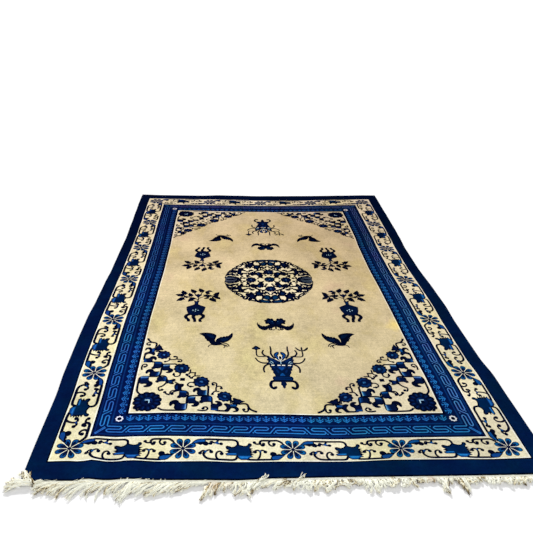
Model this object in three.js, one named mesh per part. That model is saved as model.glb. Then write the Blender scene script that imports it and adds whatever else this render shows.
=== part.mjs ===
// A knotted pile rug lying flat on a floor, with a fringe of loose warp ends along its near end.
// Millimetres, +Z up. The origin is on the underside in the rug's middle, and the fringed end
// faces -Y. Each piece is one closed solid.
import * as THREE from 'three';

// Pile rug
const rugWidth = 1830;
const rugLength = 2740;
const pileThickness = 11;
const rimRound = 4; // radius of the pile's worn upper rim
const rimSteps = 3;
const outlineStep = 31; // longest distance between two points of the outline

// Near end: a woven web parted from the pile, and the locks of warp ends that grow from it
const gap = 0.3; // clearance between the pile's edge and the web
const webDepth = 9;
const fringeThickness = 3;
const lockCount = 184;
const lockWidth = 5.2;
const lockTaper = 0.45; // width left at a full lock's tip
const lockSteps = 4;
const lockWear = 0.24; // share of a lock's length that may be worn off
const goldenShare = 0.618034; // spreads the wear evenly over the locks

// How the rug lies, in millimetres at its corners and the middles of its sides: the sides lean,
// taper and bow, and the ends tilt, bow and run out of square
const lie = {
  sideLean: -2.9,
  sideTaper: 1.9,
  sideBow: 10.3,
  endSpread: 4.4,
  endPinch: 1.3,
  endTilt: -4.5,
  lengthSkew: 13.5,
  endBow: 10.7,
  bowSkew: 3.3,
};

// Waves in the edges: a place along the edge from its middle, and how far it bulges out there
const rightWaves = [
  { at: -1370, out: 0 },
  { at: -1180, out: 2.5 },
  { at: -1000, out: 5.5 },
  { at: -850, out: 8.5 },
  { at: -728, out: -1 },
  { at: -448, out: 0 },
  { at: -274, out: 7.5 },
  { at: -130, out: 5 },
  { at: 150, out: -5 },
  { at: 410, out: -4 },
  { at: 600, out: 6 },
  { at: 760, out: 12 },
  { at: 1040, out: 17 },
  { at: 1370, out: 22 },
];
const leftWaves = [
  { at: -1370, out: -6 },
  { at: -1200, out: -4 },
  { at: -994, out: -4.5 },
  { at: -804, out: 3.5 },
  { at: -544, out: 5.8 },
  { at: -400, out: 5 },
  { at: -220, out: -3 },
  { at: -60, out: -6.5 },
  { at: 110, out: -13 },
  { at: 330, out: -14 },
  { at: 550, out: -16 },
  { at: 800, out: -10 },
  { at: 1040, out: -3 },
  { at: 1220, out: 3 },
  { at: 1370, out: 5 },
];
const farWaves = [
  { at: -915, out: 21 },
  { at: -765, out: 14 },
  { at: -465, out: 14 },
  { at: -315, out: 28 },
  { at: -200, out: 23 },
  { at: -15, out: 15 },
  { at: 285, out: 22 },
  { at: 510, out: 27 },
  { at: 660, out: 34 },
  { at: 810, out: 42 },
  { at: 915, out: 39 },
];
const nearWaves = [
  { at: -915, out: 10 },
  { at: -778, out: 8.5 },
  { at: -739, out: 8.5 },
  { at: -708, out: -0.5 },
  { at: -640, out: 5.5 },
  { at: -565, out: -0.5 },
  { at: -471, out: 5 },
  { at: -311, out: 5.5 },
  { at: -209, out: 7 },
  { at: -67, out: 0 },
  { at: 166, out: -3 },
  { at: 705, out: -3 },
  { at: 915, out: -3.5 },
];

// Fringe: where a lock is rooted along the near edge, how far out from the pile its tip reaches,
// and how far the tip is swept sideways
const fringe = [
  { at: -915, reach: 38, sweep: -40 },
  { at: -868, reach: 42, sweep: -42 },
  { at: -800, reach: 66, sweep: -44 },
  { at: -690, reach: 72, sweep: -46 },
  { at: -600, reach: 80, sweep: -44 },
  { at: -548, reach: 92, sweep: -40 },
  { at: -500, reach: 66, sweep: -40 },
  { at: -405, reach: 54, sweep: -42 },
  { at: -345, reach: 68, sweep: -42 },
  { at: -285, reach: 28, sweep: -30 },
  { at: -262, reach: 72, sweep: -22 },
  { at: -190, reach: 40, sweep: -30 },
  { at: -150, reach: 72, sweep: -34 },
  { at: -60, reach: 38, sweep: -36 },
  { at: 20, reach: 58, sweep: -16 },
  { at: 95, reach: 76, sweep: -12 },
  { at: 155, reach: 60, sweep: -14 },
  { at: 205, reach: 31, sweep: -8 },
  { at: 252, reach: 64, sweep: 4 },
  { at: 318, reach: 38, sweep: 10 },
  { at: 372, reach: 54, sweep: 8 },
  { at: 440, reach: 28, sweep: 4 },
  { at: 508, reach: 76, sweep: -3 },
  { at: 545, reach: 27, sweep: 0 },
  { at: 575, reach: 73, sweep: 4 },
  { at: 636, reach: 28, sweep: 8 },
  { at: 710, reach: 42, sweep: 2 },
  { at: 915, reach: 38, sweep: -6 },
];

const halfWidth = rugWidth / 2;
const halfLength = rugLength / 2;

// Reads one column of a table at a place along the edge, easing from row to row
function readTable(table, place, column) {
  const above = table.findIndex((row) => row.at > place);
  if (above < 1) {
    return above === 0 ? table[0][column] : table[table.length - 1][column];
  }
  const low = table[above - 1];
  const high = table[above];
  const share = THREE.MathUtils.smoothstep(place, low.at, high.at);
  return THREE.MathUtils.lerp(low[column], high[column], share);
}

// Moves a point of the true rectangle to where it lies on the floor
function layDown(x, y) {
  const p = x / halfWidth;
  const q = y / halfLength;
  const sides = lie.sideLean * q + lie.sideTaper * p * q + lie.sideBow * q * q
    + lie.endSpread * p * q * q + lie.endPinch * p * p * q;
  const ends = lie.endTilt * p + lie.lengthSkew * p * q + lie.endBow * p * p
    + lie.bowSkew * p * p * q;
  const right = Math.max(p, 0) ** 4 * readTable(rightWaves, y, 'out');
  const left = Math.max(-p, 0) ** 4 * readTable(leftWaves, y, 'out');
  const near = Math.max(-q, 0) ** 4 * readTable(nearWaves, x, 'out');
  const far = Math.max(q, 0) ** 4 * readTable(farWaves, x, 'out');
  return new THREE.Vector2(x + sides + right - left, y + ends - near + far);
}

// Joins rings of equal length to one closed solid. The rings turn counterclockwise seen from the
// last ring, and capFaces are the triangles that close each end.
function loft(rings, capFaces) {
  const count = rings[0].length;
  const last = (rings.length - 1) * count;
  const index = [];
  for (let ring = 0; ring < rings.length - 1; ring += 1) {
    for (let k = 0; k < count; k += 1) {
      const a = ring * count + k;
      const b = ring * count + ((k + 1) % count);
      index.push(a, b, b + count, a, b + count, a + count);
    }
  }
  for (const [a, b, c] of capFaces) {
    index.push(a, c, b);
    index.push(last + a, last + b, last + c);
  }
  const geometry = new THREE.BufferGeometry().setFromPoints(rings.flat());
  geometry.setIndex(index);
  return geometry;
}

// The rug's outline as it lies, drawn in from its edge by an inset, counterclockwise from above
function outline(inset) {
  const corners = [[-1, -1], [1, -1], [1, 1], [-1, 1]];
  const points = [];
  corners.forEach(([startX, startY], side) => {
    const [endX, endY] = corners[(side + 1) % corners.length];
    const length = side % 2 === 0 ? rugWidth : rugLength;
    const steps = Math.ceil(length / outlineStep);
    for (let step = 0; step < steps; step += 1) {
      const x = THREE.MathUtils.lerp(startX, endX, step / steps) * (halfWidth - inset);
      const y = THREE.MathUtils.lerp(startY, endY, step / steps) * (halfLength - inset);
      points.push(layDown(x, y));
    }
  });
  return points;
}

// The knotted pile: a flat slab with upright sides and a rounded upper rim
function pileGeometry() {
  const levels = [{ z: 0, inset: 0 }];
  for (let step = 0; step <= rimSteps; step += 1) {
    const turn = (step / rimSteps) * (Math.PI / 2);
    levels.push({
      z: pileThickness - rimRound + rimRound * Math.sin(turn),
      inset: rimRound - rimRound * Math.cos(turn),
    });
  }
  const rings = levels.map(
    ({ z, inset }) => outline(inset).map(({ x, y }) => new THREE.Vector3(x, y, z)),
  );
  return loft(rings, THREE.ShapeUtils.triangulateShape(outline(0), []));
}

// The pile's near edge, or a line at a distance outside it
function nearEdge(x, distance) {
  const edge = layDown(x, -halfLength);
  return new THREE.Vector2(edge.x, edge.y - distance);
}

// One lock's edges, from its left root round the tip to its right root. It leaves the web
// straight, bends sideways, grows thinner and ends where it is worn off.
function lockOutline(number) {
  const inner = halfWidth - lockWidth / 2;
  const rootX = THREE.MathUtils.lerp(-inner, inner, number / (lockCount - 1));
  const root = nearEdge(rootX, gap + webDepth);
  const length = readTable(fringe, rootX, 'reach') - gap - webDepth;
  const sweep = readTable(fringe, rootX, 'sweep');
  const end = 1 - lockWear * ((number * goldenShare) % 1);
  const leftSide = [];
  const rightSide = [];
  for (let step = 0; step <= lockSteps; step += 1) {
    const share = (end * step) / lockSteps;
    const middle = new THREE.Vector2(root.x + sweep * share * share, root.y - length * share);
    const aside = new THREE.Vector2(length, 2 * sweep * share).normalize();
    const halfLock = (THREE.MathUtils.lerp(1, lockTaper, share) * lockWidth) / 2;
    leftSide.push(middle.clone().addScaledVector(aside, -halfLock));
    rightSide.unshift(middle.clone().addScaledVector(aside, halfLock));
  }
  return [...leftSide, ...rightSide];
}

// The fringe: one flat comb that rests level on the floor, its web following the pile's edge
function fringeGeometry() {
  const points = [];
  for (let number = 0; number < lockCount; number += 1) {
    points.push(...lockOutline(number));
  }
  const steps = Math.ceil(rugWidth / outlineStep);
  for (let step = steps; step >= 0; step -= 1) {
    points.push(nearEdge(THREE.MathUtils.lerp(-halfWidth, halfWidth, step / steps), gap));
  }
  return new THREE.ExtrudeGeometry(new THREE.Shape(points), {
    depth: fringeThickness,
    bevelEnabled: false,
  });
}

function addPiece(group, name, geometry, material) {
  geometry.computeVertexNormals();
  const mesh = new THREE.Mesh(geometry, material);
  mesh.name = name;
  group.add(mesh);
}

const wool = new THREE.MeshStandardMaterial({ color: 0x1b3566, roughness: 0.95, metalness: 0 });
const cotton = new THREE.MeshStandardMaterial({ color: 0xece6d0, roughness: 0.9, metalness: 0 });

const rug = new THREE.Group();
addPiece(rug, 'pile', pileGeometry(), wool);
addPiece(rug, 'fringe_near', fringeGeometry(), cotton);

export default rug;
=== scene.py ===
import bpy
import math
import random
from contextlib import contextmanager
from mathutils import Matrix, Vector, geometry, noise


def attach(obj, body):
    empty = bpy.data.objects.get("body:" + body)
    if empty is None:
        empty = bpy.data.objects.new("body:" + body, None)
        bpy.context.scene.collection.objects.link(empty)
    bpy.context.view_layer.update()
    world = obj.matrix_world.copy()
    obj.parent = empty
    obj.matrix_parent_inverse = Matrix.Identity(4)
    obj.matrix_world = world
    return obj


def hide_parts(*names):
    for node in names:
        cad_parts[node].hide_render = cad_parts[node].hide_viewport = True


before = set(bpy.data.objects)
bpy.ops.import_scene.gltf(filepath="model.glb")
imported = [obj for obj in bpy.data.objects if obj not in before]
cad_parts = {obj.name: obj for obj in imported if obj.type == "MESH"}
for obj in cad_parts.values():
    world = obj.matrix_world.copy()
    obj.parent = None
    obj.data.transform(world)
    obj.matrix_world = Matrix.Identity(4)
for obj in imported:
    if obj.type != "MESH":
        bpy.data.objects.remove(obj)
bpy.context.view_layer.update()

# A knotted pile rug in blue and cream, lying flat, with loose warp ends along its near end.
# Sizes are in millimetres unless a name says otherwise, and meshes are made in metres.
mm = 0.001

rug = {
    "width": 1830,
    "length": 2740,
    "thickness": 11,
    "rimRound": 4,  # radius of the pile's worn upper rim
    "rimSteps": 4,
    "sideDrop": 2.2,  # how many rim radii below the top the upright side ends
    "underInset": 1.2,
    "sideWobble": 0.35,
    "ripple": 0.6,  # how far the worn pile rises and falls
    "rippleSize": 170,
    "gridStep": 45,  # spacing of the plain points between the motifs
    "edgeStep": 24,  # longest straight piece of a border line
}
halfWidth = rug["width"] / 2
halfLength = rug["length"] / 2

# How the rug lies: its sides lean, taper and bow, and its ends tilt, bow and run out of square
lie = {
    "sideLean": -2.9, "sideTaper": 1.9, "sideBow": 10.3, "endSpread": 4.4, "endPinch": 1.3,
    "endTilt": -4.5, "lengthSkew": 13.5, "endBow": 10.7, "bowSkew": 3.3,
}

# Waves in the edges: a place along the edge, and how far the edge bulges out there. At the near
# and far ends the further numbers are the bulges of the cream border's outer line, the guard
# border's outer line and the field's outer line.
rightWaves = [(-1370, 0), (-1180, 2.5), (-1000, 5.5), (-850, 8.5), (-728, -1), (-448, 0), (-274, 7.5),
    (-130, 5), (150, -5), (410, -4), (600, 6), (760, 12), (1040, 17), (1370, 22)]
leftWaves = [(-1370, -6), (-1200, -4), (-994, -4.5), (-804, 3.5), (-544, 5.8), (-400, 5), (-220, -3),
    (-60, -6.5), (110, -13), (330, -14), (550, -16), (800, -10), (1040, -3), (1220, 3), (1370, 5)]
farWaves = [(-915, 21, 0, -5, -10), (-765, 14, -4, -8, -10), (-465, 14, -10, -14, -22),
    (-315, 28, -8, -14, -26), (-200, 23, -14, -20, -32), (-15, 15, -28, -22, -34),
    (100, 17, -29, -22, -38), (285, 22, -24, -18, -32), (510, 27, -7, -6, -26), (660, 34, 0, 2, -24),
    (810, 42, 8, 4, -20), (915, 39, 10, 4, -18)]
nearWaves = [(-915, 10, 4, 5, -5), (-778, 8.5, -2, 2, -5), (-739, 8.5, 0, 1, -5),
    (-708, -0.5, -8, -2, -5), (-640, 5.5, 1, 3, -5), (-565, -0.5, -6, -1.5, -6), (-471, 5, 0, -3, -9),
    (-311, 5.5, -1.5, -1, -7), (-209, 7, 3, 3, -1), (-67, 0, 1.5, 8, 0), (166, -3, 4, 16, 7),
    (371, -3, -2.5, 10, 3), (583, -3, -1.5, 10, 0), (705, -3, 1, 10, 0), (915, -3.5, -3.5, 8, 0)]
# How far the field's long sides lie further in than the edges tell: place, left, right
sideDrift = [(-1050, 6, 5), (-900, 5, 2), (-450, 6, 3), (-150, 10, 6), (150, 14, 10), (450, 14, 9),
    (600, 11, 5), (900, 8, 8), (1050, 9, 11)]
fieldFade = 850  # distance over which the inner waves die out inside the field's line


def readTable(table, place, column=1):
    # eases from row to row of a table whose first column is the place
    if place <= table[0][0]:
        return table[0][column]
    for low, high in zip(table, table[1:]):
        if place <= high[0]:
            share = (place - low[0]) / (high[0] - low[0])
            share = share * share * (3 - 2 * share)
            return low[column] + (high[column] - low[column]) * share
    return table[-1][column]


def bulge(waves, place, inside):
    # how far a point bulges out, at a distance inside the wavy edge
    lines = (0, bands["outerEnd"], bands["creamEnd"], bands["fieldStart"])
    values = [readTable(waves, place, column + 1) for column in range(len(lines))]
    for k in range(len(lines) - 1):
        if inside < lines[k + 1]:
            share = max(inside - lines[k], 0) / (lines[k + 1] - lines[k])
            return values[k] + (values[k + 1] - values[k]) * share
    return values[-1] * max(0, 1 - (inside - lines[-1]) / fieldFade)


def drift(place, inside, column):
    # how far a point near a long side lies further in
    start = bands["outerEnd"]
    end = bands["fieldStart"]
    share = min((inside - start) / (end - start), 1 - (inside - end) / fieldFade)
    return readTable(sideDrift, place, column) * max(0, share)


def layDown(x, y):
    # moves a point of the true rectangle to where it lies on the floor
    p = x / halfWidth
    q = y / halfLength
    sides = (lie["sideLean"] * q + lie["sideTaper"] * p * q + lie["sideBow"] * q * q
             + lie["endSpread"] * p * q * q + lie["endPinch"] * p * p * q)
    ends = (lie["endTilt"] * p + lie["lengthSkew"] * p * q + lie["endBow"] * p * p
            + lie["bowSkew"] * p * p * q)
    right = max(p, 0) ** 4 * readTable(rightWaves, y)
    left = max(-p, 0) ** 4 * readTable(leftWaves, y)
    inward = drift(y, halfWidth + x, 1) - drift(y, halfWidth - x, 2)
    outward = bulge(farWaves, x, halfLength - y) - bulge(nearWaves, x, halfLength + y)
    return x + sides + right - left + inward, y + ends + outward


# Distances from the rug's edge to the lines of its borders
bands = {
    "outerEnd": 68.3,  # plain navy, then the cream border
    "creamEnd": 182.7,  # then the guard border
    "fretMiddle": 219.5,
    "starMiddle": 270.8,
    "trefoilMiddle": 274,
    "guardEnd": 299,
    "fieldStart": 303,  # after a bright cream line
    "darkLine": 5,  # near-black line round the cream border
    "creamLine": 4.5,  # plain bright strip inside it
}

# Wool dyes, as the colours that the photograph's light shows
dyes = {
    "navy": (3, 28, 66),
    "guardNavy": (4, 25, 72),
    "ink": (2, 9, 34),
    "motifNavy": (5, 20, 56),
    "blue": (18, 76, 144),
    "bloomBlue": (12, 84, 144),
    # near-black: the line round the cream border, and painted shade on the pile's steep rim and upright
    # side
    "edgeLineAndSideShade": (1, 3, 18),
    "deepBlue": (9, 42, 94),
    "rimBlue": (8, 54, 92),
    "potBlue": (3, 24, 60),
    "greyBlue": (122, 142, 160),
    "palmetteBlue": (2, 34, 74),
    "fretBlue": (44, 124, 194),
    "fretPale": (74, 126, 190),
    "trefoilBlue": (38, 122, 196),
    "guardTint": (10, 52, 108),
    "leafPale": (112, 164, 198),
    "paleBlue": (166, 202, 214),
    "midPale": (56, 118, 172),
    "cream": (241, 227, 182),
    "brightCream": (253, 246, 220),
    "field": (217, 198, 150),
    "paleField": (231, 215, 172),
    "white": (244, 244, 240),
    "back": (196, 184, 150),
}


def linear(colour):
    shares = [channel / 255 for channel in colour]
    return [s / 12.92 if s <= 0.04045 else ((s + 0.055) / 1.055) ** 2.4 for s in shares]


# Drawing the pattern

def bend(points, closed=False, step=5.0):
    # a smooth line through the given points
    count = len(points)
    line = []
    for i in range(count if closed else count - 1):
        if closed:
            a, b, c, d = (points[(i + k) % count] for k in (-1, 0, 1, 2))
        else:
            a = points[max(i - 1, 0)]
            b = points[i]
            c = points[i + 1]
            d = points[min(i + 2, count - 1)]
        steps = max(2, min(9, round(math.dist(b, c) / step)))
        for k in range(steps):
            t = k / steps
            line.append(tuple(
                0.5 * (2 * b[n] + (c[n] - a[n]) * t
                       + (2 * a[n] - 5 * b[n] + 4 * c[n] - d[n]) * t * t
                       + (3 * b[n] - a[n] - 3 * c[n] + d[n]) * t ** 3) for n in (0, 1)))
    if not closed:
        line.append(tuple(points[-1][:2]))
    return line


def arcLine(x, y, radius, start, end, steps, flat=1.0):
    # points on an arc, with its angles in degrees
    line = []
    for k in range(steps + 1):
        turn = math.radians(start + (end - start) * k / steps)
        line.append((x + radius * math.cos(turn), y + radius * flat * math.sin(turn)))
    return line


def rosette(count, reach):
    # a closed outline round its middle, as far out as the function of the angle says
    turns = [2 * math.pi * k / count for k in range(count)]
    return [(reach(turn) * math.cos(turn), reach(turn) * math.sin(turn)) for turn in turns]


def divide(points, step):
    # breaks the sides of a closed outline into short pieces
    line = []
    for a, b in zip(points, points[1:] + points[:1]):
        steps = max(1, math.ceil(math.dist(a, b) / step))
        line += [(a[0] + (b[0] - a[0]) * k / steps, a[1] + (b[1] - a[1]) * k / steps)
                 for k in range(steps)]
    return line


def mirrored(points):
    return points + [(-x, y) for x, y in reversed(points)]


def spread(points, reach):
    # the outline moved outwards
    moved = []
    for k, (x, y) in enumerate(points):
        before = points[k - 1]
        after = points[(k + 1) % len(points)]
        along = Vector((after[0] - before[0], after[1] - before[1]))
        along = along.normalized() if along.length > 1e-6 else Vector((0, 0))
        moved.append((x + along.y * reach, y - along.x * reach))
    return moved


class Drawing:
    # the pattern, as outlines that are painted one over another on the flat rug
    def __init__(self):
        self.shapes = []
        self.places = [Matrix.Identity(3)]
        self.weight = 1.0  # how bold the near-black lines are drawn
        self.swell = 0.0  # how far near-black shapes spread past their outline

    @contextmanager
    def at(self, x=0, y=0, turn=0, size=1, flipX=False, flipY=False, stretch=1):
        # what is drawn inside a with block is moved, turned, scaled or mirrored
        move = Matrix(((1, 0, x), (0, 1, y), (0, 0, 1)))
        spin = Matrix.Rotation(math.radians(turn), 3, "Z")
        scale = Matrix.Diagonal((size * stretch * (-1 if flipX else 1), size * (-1 if flipY else 1), 1))
        self.places.append(self.places[-1] @ (move @ spin @ scale))
        yield
        self.places.pop()

    def halves(self):
        # once as it is, and once mirrored
        for flip in (False, True):
            with self.at(flipX=flip):
                yield

    def fill(self, dye, outline):
        place = self.places[-1]
        points = [(place @ Vector((x, y, 1)))[:2] for x, y in outline]
        area = sum(a[0] * b[1] - b[0] * a[1] for a, b in zip(points, points[1:] + points[:1]))
        if area < 0:
            points.reverse()
        if self.swell and dye == "ink":
            points = spread(points, self.swell)
        self.shapes.append((dye, points))

    def dot(self, dye, x, y, radius, sides=10):
        self.fill(dye, arcLine(x, y, radius, 0, 360 - 360 / sides, sides - 1))

    def stroke(self, dye, line, width, tip=None):
        # a band along a line, as wide at its end as tip says
        tip = width if tip is None else tip
        if dye == "ink":
            width *= self.weight
            tip *= self.weight
        last = len(line) - 1
        left = []
        right = []
        for k, (x, y) in enumerate(line):
            before = line[max(k - 1, 0)]
            after = line[min(k + 1, last)]
            ahead = Vector((after[0] - x, after[1] - y))
            behind = Vector((x - before[0], y - before[1]))
            ahead = (ahead if ahead.length > 0 else behind).normalized()
            behind = (behind if behind.length > 0 else ahead).normalized()
            along = (ahead + behind).normalized()
            reach = (width + (tip - width) * k / last) / 2 / max(0.5, along.dot(ahead))
            left.append((x - along.y * reach, y + along.x * reach))
            right.append((x + along.y * reach, y - along.x * reach))
        self.fill(dye, left + right[::-1])

    def ink(self, outline):
        self.fill("ink", outline)

    def leaf(self, points, step=9, dye="ink"):
        # a closed shape with a smooth edge
        self.fill(dye, bend(points, closed=True, step=step))

    def vine(self, points, width, tip=None):
        self.stroke("ink", bend(points), width, tip)

    def curl(self, points, width=5.4, knob=6.2, tip=4.4):
        # a thin stem that ends in a round knob
        self.vine(points, width, tip)
        if knob:
            self.dot("ink", *points[-1], knob, 9)


# Cream border: sizes from a flower's middle, x along the border and y towards the field. The unit
# is the distance of two flowers at which the vine is drawn, and it is stretched to each side's own.
borderFlower = {"middle": 125.5, "petals": 8, "unit": 394.75, "shortCount": 4, "longCount": 6}
vine = {"width": 6.4, "inner": 44.0, "outer": -48.5}


def borderPetal(draw):
    outline = [(5, 1.2), (18, 5.8), (29, 9.8), (37, 10.8), (44, 8.6), (48, 3.4)]
    draw.ink(outline + [(x, -y) for x, y in reversed(outline)])
    rim = [(20, 3.6), (30, 7.6), (37, 8.6), (43, 6.6), (46.4, 2.4)]
    draw.fill("bloomBlue", rim + [(x, -y) for x, y in reversed(rim)])
    draw.fill("motifNavy", [(8, 0), (18, 3.6), (28, 5.2), (35, 3.6), (38, 0), (35, -3.6), (28, -5.2),
        (18, -3.6)])


def borderBloom(draw):
    step = 360 / borderFlower["petals"]
    for k in range(borderFlower["petals"]):
        with draw.at(turn=step * (k + 0.5)):
            borderPetal(draw)
    for k in range(borderFlower["petals"]):
        with draw.at(turn=step * k):
            draw.stroke("brightCream", [(7, 0), (46, 0)], 2.6 / math.sqrt(draw.weight))
    draw.dot("motifNavy", 0, 0, 6.4)


def startLeaf(draw):
    # the leaf on a flower's inner side, which the inner vine leaves
    draw.ink(bend([(28, 23), (36, 33), (46, 42), (60, 46), (79, 46)]) + bend([(80, 34), (88, 29),
        (91, 21), (84, 14), (75, 16), (69, 21), (62, 17), (54, 21), (44, 23), (34, 20)]))
    draw.fill("blue", bend([(34, 27), (44, 37), (58, 42.5), (77, 42.5)]) + [(77, 33), (58, 31), (44, 27)])


def endLeaf(draw):
    # the leaf on the next flower's outer side, which the outer vine reaches
    draw.ink(bend([(-28, -23), (-40, -36), (-50, -46), (-60, -50.5), (-80, -51)]) + bend([(-84, -40),
        (-79, -33), (-84, -26), (-82, -16), (-73, -12), (-64, -17), (-60, -25), (-52, -22), (-44, -25),
        (-36, -20)]))
    draw.fill("blue", bend([(-36, -29), (-46, -39), (-58, -47), (-77, -47.5)]) + [(-79, -36), (-66, -31),
        (-48, -31)])


def palmette(draw):
    draw.ink([(153, 6), (153, 12), (158, 16), (165, 14), (174, 10), (185, 13), (191, 20), (196, 24),
        (206, 19), (216, 15.5), (226, 16), (232, 20), (234, 27), (240, 29), (246, 25), (246, 17),
        (241, 12), (238, 6), (251, 3), (241, -3), (254, -8), (242, -11), (254, -17), (243, -19),
        (253, -26), (243, -28), (250, -36), (239, -38), (229, -48), (207, -48), (197, -41), (192, -29),
        (156, -28.5), (151, -21), (162, -15), (152, -10), (163, -5), (156, 0)])
    draw.fill("palmetteBlue", [(158, 9), (175, 5), (188, 9), (196, 18), (206, 14), (218, 11), (230, 13),
        (238, 24), (242, 20), (237, 10), (240, -34), (229, -45), (208, -45), (199, -38), (194, -26),
        (167, -25), (168, -8)])
    draw.fill("blue", [(156, -19.5), (166, -17.5), (190, -17), (191, -25.5), (157, -26)])
    draw.fill("trefoilBlue", [(160, -20.5), (188, -19.5), (188, -22.5), (160, -23)])
    draw.fill("blue", [(196, -29), (242, -30.5), (245, -35), (237, -36.5), (227, -45.5), (208, -45.5),
        (200, -40)])
    draw.fill("trefoilBlue", [(201, -33), (234, -34), (229, -39), (206, -38)])


def borderVine(draw):
    width = vine["width"]
    inner = vine["inner"]
    outer = vine["outer"]
    draw.vine([(74, inner), (100, inner), (150, inner), (178, inner), (190, inner - 4), (195, 34),
        (197, 20)], width)
    draw.curl([(126, inner), (122, 34), (116, 28), (107, 29), (102, 34), (97, 31), (98, 24)])
    draw.curl([(116, 28), (126, 24), (136, 24)], 5.1)
    draw.fill("blue", [(112, 27), (122, 34), (130, 27), (121, 22)])
    draw.vine([(78, -12), (74, -22), (76, -32), (84, -42), (96, -47), (115, outer), (150, outer), (176,
        outer), (187, -45), (192, -36), (195, -28)], width)
    draw.curl([(78, -12), (72, -10), (65, -14), (62, -21)], 5.9, 6.5)
    draw.curl([(76, -24), (82, -13), (90, -7), (99, -8), (101, -15)], 5.5, 6.7)
    draw.fill("blue", [(76, -14), (84, -8), (86, -14), (79, -20)])
    draw.curl([(128, outer), (120, -40), (118, -28), (122, -16), (131, -11), (138, -15), (138, -22)], 5.5,
        6.7)
    draw.vine([(279, 24), (277, 35), (284, inner - 1), (300, inner), (325, inner), (340, inner),
        (350, 39), (366, 24)], width)
    draw.curl([(278, 32), (271, 26), (261, 27), (257, 33)], 5.1, 6.1)
    draw.curl([(279, 26), (284, 18), (291, 20), (290, 27)], 5.1, 5.9)
    draw.curl([(316, inner), (309, 34), (312, 23), (321, 17), (329, 20), (328, 27)], 5.3, 6.3)
    draw.vine([(228, -46), (250, outer), (290, outer), (322, outer)], width)
    draw.curl([(264, outer), (272, -36), (276, -20), (275, -7)], 5.5, 0)
    draw.curl([(275, -9), (267, -4), (259, -6), (257, -12)], 5.1, 6.7)
    draw.curl([(275, -9), (283, -4), (291, -7), (294, -12)], 5.1, 6.3)
    draw.fill("blue", [(269, -5), (281, -5), (276, -14)])


def creamSide(draw, reach, count):
    # one side of the cream border, from its left corner flower up to the next corner's
    pitch = (2 * reach - 2 * borderFlower["middle"]) / count
    ratio = pitch / borderFlower["unit"]
    for k in range(count):
        with draw.at(-reach + borderFlower["middle"] + k * pitch):
            with draw.at(stretch=ratio):
                borderVine(draw)
                palmette(draw)
            startLeaf(draw)
            with draw.at(pitch):
                endLeaf(draw)
            borderBloom(draw)


# Guard border: a link fret, and a row of small trefoils that ends at a star in each corner
fret = {
    "start": 13, "end": 57, "shortCount": 8, "longCount": 14, "line": 4.4, "rise": 13.6, "bar": 53,
    "dot": 3, "cornerReach": 23, "cornerWidth": 9,
}
trefoil = {"pitch": 34.7, "starRoom": 22}


def fretHalf(draw, length, count, dye):
    # half of one side, from its corner to its middle, where it meets its mirror image
    unit = (length - fret["start"] - fret["end"]) / count
    rise = fret["rise"]
    bar = fret["bar"]
    line = []
    for k in range(count + 1):
        x = fret["start"] + k * unit
        line += [(x + 2, rise), (x + bar - 6, rise), (x + bar - 1, rise - 3), (x + bar + 1, rise / 2 + 1),
                 (x + bar - 1, 3), (x + bar - 7, 0), (x + 9, 0), (x + 3, -3), (x + 1, -rise / 2 - 1),
                 (x + 3, 3 - rise), (x + 9, -rise), (x + bar + 6, -rise)]
        if k == count:
            middle = x + fret["end"]
            line[-1] = (middle, -rise)
        else:
            draw.dot(dye, x + bar + 12, rise + 0.5, fret["dot"], 7)
            draw.dot(dye, x + bar + 21, 0.5 - rise, fret["dot"], 7)
    draw.stroke(dye, line, fret["line"])


def fretSide(draw, reach, count, dye):
    for _ in draw.halves():
        with draw.at(bands["fretMiddle"] - reach):
            fretHalf(draw, reach - bands["fretMiddle"], count, dye)


def fretCorner(draw, x, y):
    out = -fret["cornerReach"]
    with draw.at(x, y):
        draw.stroke("fretBlue", [(out, out), (8, 8)], fret["cornerWidth"])
        draw.stroke("guardNavy", [(out + 4, out + 4), (8, 8)], fret["cornerWidth"] / 5)


def trefoilMotif(draw):
    draw.stroke("trefoilBlue", [(-14, -3), (-7, -8), (0, -13), (7, -8), (14, -3)], 3.4)
    draw.stroke("trefoilBlue", [(0, -12), (0, 10)], 3.2)
    draw.stroke("trefoilBlue", [(-5, 10), (0, 12), (5, 10)], 3.2)
    for side in (-1, 1):
        draw.stroke("trefoilBlue", [(15 * side, 6), (8 * side, 0), (0, -4)], 2.8)


def trefoilSide(draw, reach, level):
    length = 2 * (reach - bands["starMiddle"] - trefoil["starRoom"])
    count = round(length / trefoil["pitch"])
    for k in range(count):
        with draw.at(-length / 2 + length * (k + 0.5) / count, level):
            trefoilMotif(draw)


def cornerStar(draw, x, y):
    with draw.at(x, y):
        draw.fill("white", rosette(16, lambda turn: 13.9 + 1.5 * math.cos(8 * turn)))
        draw.dot("ink", 0, 0, 7.5)


# Motifs that the field and its corners share

def roundBloom(draw, x, y, radius, heart="deepBlue"):
    # a small round flower: ragged rim, a broken lighter ring and a pale seed in the middle
    with draw.at(x, y, size=radius / 30):
        draw.ink(rosette(40, lambda turn: 28.2 + 2.4 * math.sin(10 * turn)))
        draw.dot("motifNavy", 0, 0, 24, 14)
        draw.fill(heart, arcLine(-2, -1, 21, 130, 260, 8) + arcLine(-2, -1, 12, 260, 130, 7))
        draw.fill(heart, arcLine(2, 1, 21, -30, 70, 7) + arcLine(2, 1, 13, 70, -30, 6))
        draw.dot(heart, 0, 1, 8)
        draw.fill("midPale", [(-4, 5), (4, 5), (4, -5), (0.5, -5), (0, 1), (-4, 1)])


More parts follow.
